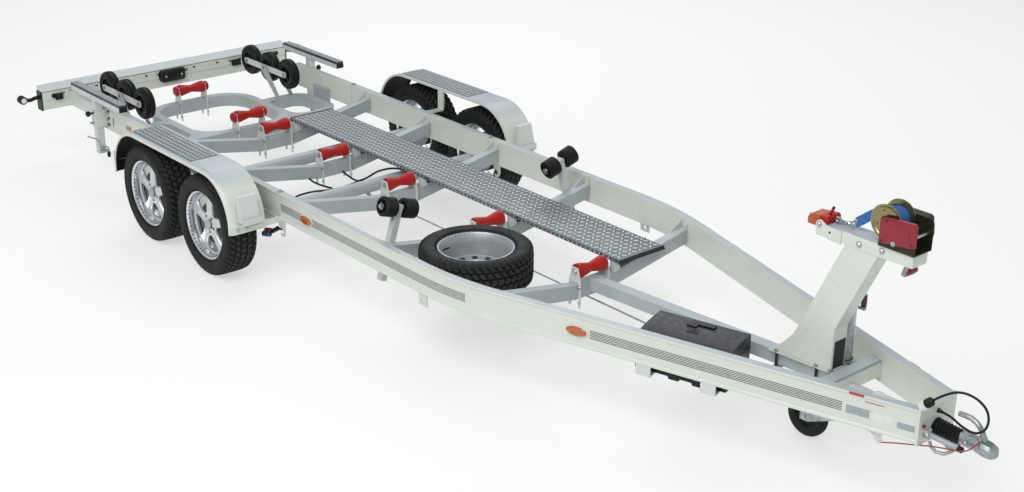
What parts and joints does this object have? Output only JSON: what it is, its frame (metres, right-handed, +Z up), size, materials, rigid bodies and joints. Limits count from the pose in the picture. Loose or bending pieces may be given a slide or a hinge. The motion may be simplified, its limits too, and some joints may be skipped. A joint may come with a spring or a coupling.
{
  "type": "boat trailer",
  "caption": "Tandem-axle boat trailer with keel rollers, rear slip wheels, side supports, a walkway, a bow winch on a leaning post, a jockey wheel and a pull-out rear light bar.",
  "frame": {"origin": "on the ground, in the middle of the trailer's length and width", "axes": "+X forward to the coupling, +Y to the left-hand side, +Z up"},
  "size_m": [7.227, 2.3598, 1.376],
  "materials": {
    "alloy": "silver lacquered casting",
    "black_plastic": "grained",
    "black_rubber": "moulded",
    "cast": "zinc plated casting",
    "frame_paint": "pale grey paint",
    "lamp_plastic": "clear moulded",
    "rail_paint": "cream white gloss paint",
    "red_rubber": "moulded",
    "rim_steel": "silver painted steel",
    "tread_plate": "five-bar tread plate",
    "tyre_rubber": "moulded tread",
    "yellow_zinc": "yellow zinc plated steel",
    "zinc": "zinc plated steel"
  },
  "bodies": {
    "trailer": {"rail_right": "rail_paint", "rail_left": "rail_paint", "cross_members": "frame_paint", "keel_cradle": "frame_paint", "roller_brackets": "zinc", "walkway": "tread_plate", "centre_beam": "frame_paint", "winch_post": "rail_paint", "winch_frame": "zinc", "bow_stop": "red_rubber", "axles": "zinc", "fenders": "rail_paint", "support_sleeves": "zinc", "guide_posts": "zinc", "jockey_tube": "zinc", "coupling_frame": "rail_paint", "coupling_head": "cast", "bellows": "black_rubber", "spare_tyre": "tyre_rubber", "spare_rim": "rim_steel", "toolbox": "black_plastic", "small_brackets": "rail_paint", "plug": "black_plastic", "cable": "black_rubber"},
    "light_bar": {"light_beam": "rail_paint", "lamps": "lamp_plastic"},
    "toolbox_cover": {"toolbox_lid": "black_plastic"},
    "drum": {"winch_drum": "yellow_zinc"},
    "crank": {"winch_crank": "zinc"},
    "leg": {"jockey_leg": "zinc"},
    "fork": {"jockey_fork": "zinc"},
    "nose_wheel": {"jockey_wheel": "black_rubber"},
    "wheel_front_right": {"tyre_front_right": "tyre_rubber", "rim_front_right": "alloy"},
    "wheel_front_left": {"tyre_front_left": "tyre_rubber", "rim_front_left": "alloy"},
    "wheel_rear_right": {"tyre_rear_right": "tyre_rubber", "rim_rear_right": "alloy"},
    "wheel_rear_left": {"tyre_rear_left": "tyre_rubber", "rim_rear_left": "alloy"},
    "roller_1": {"keel_roller_1": "red_rubber"},
    "roller_2": {"keel_roller_2": "red_rubber"},
    "roller_3": {"keel_roller_3": "red_rubber"},
    "roller_4": {"keel_roller_4": "red_rubber"},
    "roller_5": {"keel_roller_5": "red_rubber"},
    "roller_6": {"keel_roller_6": "red_rubber"},
    "roller_7": {"keel_roller_7": "red_rubber"},
    "rocker_right": {"slip_rocker_right": "zinc"},
    "slip_rear_right": {"slip_wheel_rear_right": "black_rubber"},
    "slip_middle_right": {"slip_wheel_middle_right": "black_rubber"},
    "slip_front_right": {"slip_wheel_front_right": "black_rubber"},
    "support_right": {"side_support_right": "zinc"},
    "guide_right": {"guide_rollers_right": "black_rubber"},
    "rocker_left": {"slip_rocker_left": "zinc"},
    "slip_rear_left": {"slip_wheel_rear_left": "black_rubber"},
    "slip_middle_left": {"slip_wheel_middle_left": "black_rubber"},
    "slip_front_left": {"slip_wheel_front_left": "black_rubber"},
    "support_left": {"side_support_left": "zinc"},
    "guide_left": {"guide_rollers_left": "black_rubber"}
  },
  "joints": [
    {"name": "wheel_front_right_spin", "type": "hinge", "parent": "trailer", "child": "wheel_front_right", "pos_m": [-1.0345, -1.047, 0.3135], "axis": [0, 1, 0], "continuous": true},
    {"name": "wheel_front_left_spin", "type": "hinge", "parent": "trailer", "child": "wheel_front_left", "pos_m": [-1.0345, 1.047, 0.3135], "axis": [0, 1, 0], "continuous": true},
    {"name": "wheel_rear_right_spin", "type": "hinge", "parent": "trailer", "child": "wheel_rear_right", "pos_m": [-1.7385, -1.047, 0.3135], "axis": [0, 1, 0], "continuous": true},
    {"name": "wheel_rear_left_spin", "type": "hinge", "parent": "trailer", "child": "wheel_rear_left", "pos_m": [-1.7385, 1.047, 0.3135], "axis": [0, 1, 0], "continuous": true},
    {"name": "roller_1_spin", "type": "hinge", "parent": "trailer", "child": "roller_1", "pos_m": [-3.2005, 0, 0.452], "axis": [0, 1, 0], "continuous": true},
    {"name": "roller_2_spin", "type": "hinge", "parent": "trailer", "child": "roller_2", "pos_m": [-2.3855, 0, 0.452], "axis": [0, 1, 0], "continuous": true},
    {"name": "roller_3_spin", "type": "hinge", "parent": "trailer", "child": "roller_3", "pos_m": [-2.0415, 0, 0.452], "axis": [0, 1, 0], "continuous": true},
    {"name": "roller_4_spin", "type": "hinge", "parent": "trailer", "child": "roller_4", "pos_m": [-1.3355, 0, 0.452], "axis": [0, 1, 0], "continuous": true},
    {"name": "roller_5_spin", "type": "hinge", "parent": "trailer", "child": "roller_5", "pos_m": [-0.6125, 0, 0.452], "axis": [0, 1, 0], "continuous": true},
    {"name": "roller_6_spin", "type": "hinge", "parent": "trailer", "child": "roller_6", "pos_m": [0.2475, 0, 0.452], "axis": [0, 1, 0], "continuous": true},
    {"name": "roller_7_spin", "type": "hinge", "parent": "trailer", "child": "roller_7", "pos_m": [1.1115, 0, 0.452], "axis": [0, 1, 0], "continuous": true},
    {"name": "rocker_right_tilt", "type": "hinge", "parent": "trailer", "child": "rocker_right", "pos_m": [-3.0365, -0.588, 0.552], "axis": [0, 1, 0], "range_deg": [-12, 12]},
    {"name": "slip_rear_right_spin", "type": "hinge", "parent": "rocker_right", "child": "slip_rear_right", "pos_m": [-3.2945, -0.588, 0.552], "axis": [0, 1, 0], "continuous": true},
    {"name": "slip_middle_right_spin", "type": "hinge", "parent": "trailer", "child": "slip_middle_right", "pos_m": [-3.0365, -0.588, 0.552], "axis": [0, 1, 0], "continuous": true},
    {"name": "slip_front_right_spin", "type": "hinge", "parent": "rocker_right", "child": "slip_front_right", "pos_m": [-2.7785, -0.588, 0.552], "axis": [0, 1, 0], "continuous": true},
    {"name": "support_right_height", "type": "slide", "parent": "trailer", "child": "support_right", "axis": [0, 0, 1], "range_m": [-0.065, 0.15]},
    {"name": "guide_right_spin", "type": "hinge", "parent": "trailer", "child": "guide_right", "pos_m": [0.1975, -0.601, 0.667], "axis": [0, -0.9563, 0.2924], "continuous": true},
    {"name": "rocker_left_tilt", "type": "hinge", "parent": "trailer", "child": "rocker_left", "pos_m": [-3.0365, 0.588, 0.552], "axis": [0, 1, 0], "range_deg": [-12, 12]},
    {"name": "slip_rear_left_spin", "type": "hinge", "parent": "rocker_left", "child": "slip_rear_left", "pos_m": [-3.2945, 0.588, 0.552], "axis": [0, 1, 0], "continuous": true},
    {"name": "slip_middle_left_spin", "type": "hinge", "parent": "trailer", "child": "slip_middle_left", "pos_m": [-3.0365, 0.588, 0.552], "axis": [0, 1, 0], "continuous": true},
    {"name": "slip_front_left_spin", "type": "hinge", "parent": "rocker_left", "child": "slip_front_left", "pos_m": [-2.7785, 0.588, 0.552], "axis": [0, 1, 0], "continuous": true},
    {"name": "support_left_height", "type": "slide", "parent": "trailer", "child": "support_left", "axis": [0, 0, 1], "range_m": [-0.065, 0.15]},
    {"name": "guide_left_spin", "type": "hinge", "parent": "trailer", "child": "guide_left", "pos_m": [0.1975, 0.601, 0.667], "axis": [0, 0.9563, 0.2924], "continuous": true},
    {"name": "light_bar_pull", "type": "slide", "parent": "trailer", "child": "light_bar", "axis": [-1, 0, 0], "range_m": [0, 0.4]},
    {"name": "leg_height", "type": "slide", "parent": "trailer", "child": "leg", "axis": [0, 0, 1], "range_m": [-0.12, 0.05]},
    {"name": "fork_swivel", "type": "hinge", "parent": "leg", "child": "fork", "pos_m": [2.7115, 0.13, 0.22], "axis": [0, 0, 1], "continuous": true},
    {"name": "nose_wheel_spin", "type": "hinge", "parent": "fork", "child": "nose_wheel", "pos_m": [2.5315, 0.13, 0.115], "axis": [0, 1, 0], "continuous": true},
    {"name": "lid_hinge", "type": "hinge", "parent": "trailer", "child": "toolbox_cover", "pos_m": [1.87207, -0.2328, 0.4964], "axis": [-0.9585, -0.2852, 0], "range_deg": [0, 100]},
    {"name": "drum_turn", "type": "hinge", "parent": "trailer", "child": "drum", "pos_m": [2.9735, 0, 1.296], "axis": [0, 1, 0], "continuous": true},
    {"name": "crank_turn", "type": "hinge", "parent": "trailer", "child": "crank", "pos_m": [3.0375, 0, 1.222], "axis": [0, 1, 0], "continuous": true}
  ],
  "couplings": [
    {"joint": "crank_turn", "follows": "drum_turn", "ratio": -4}
  ]
}
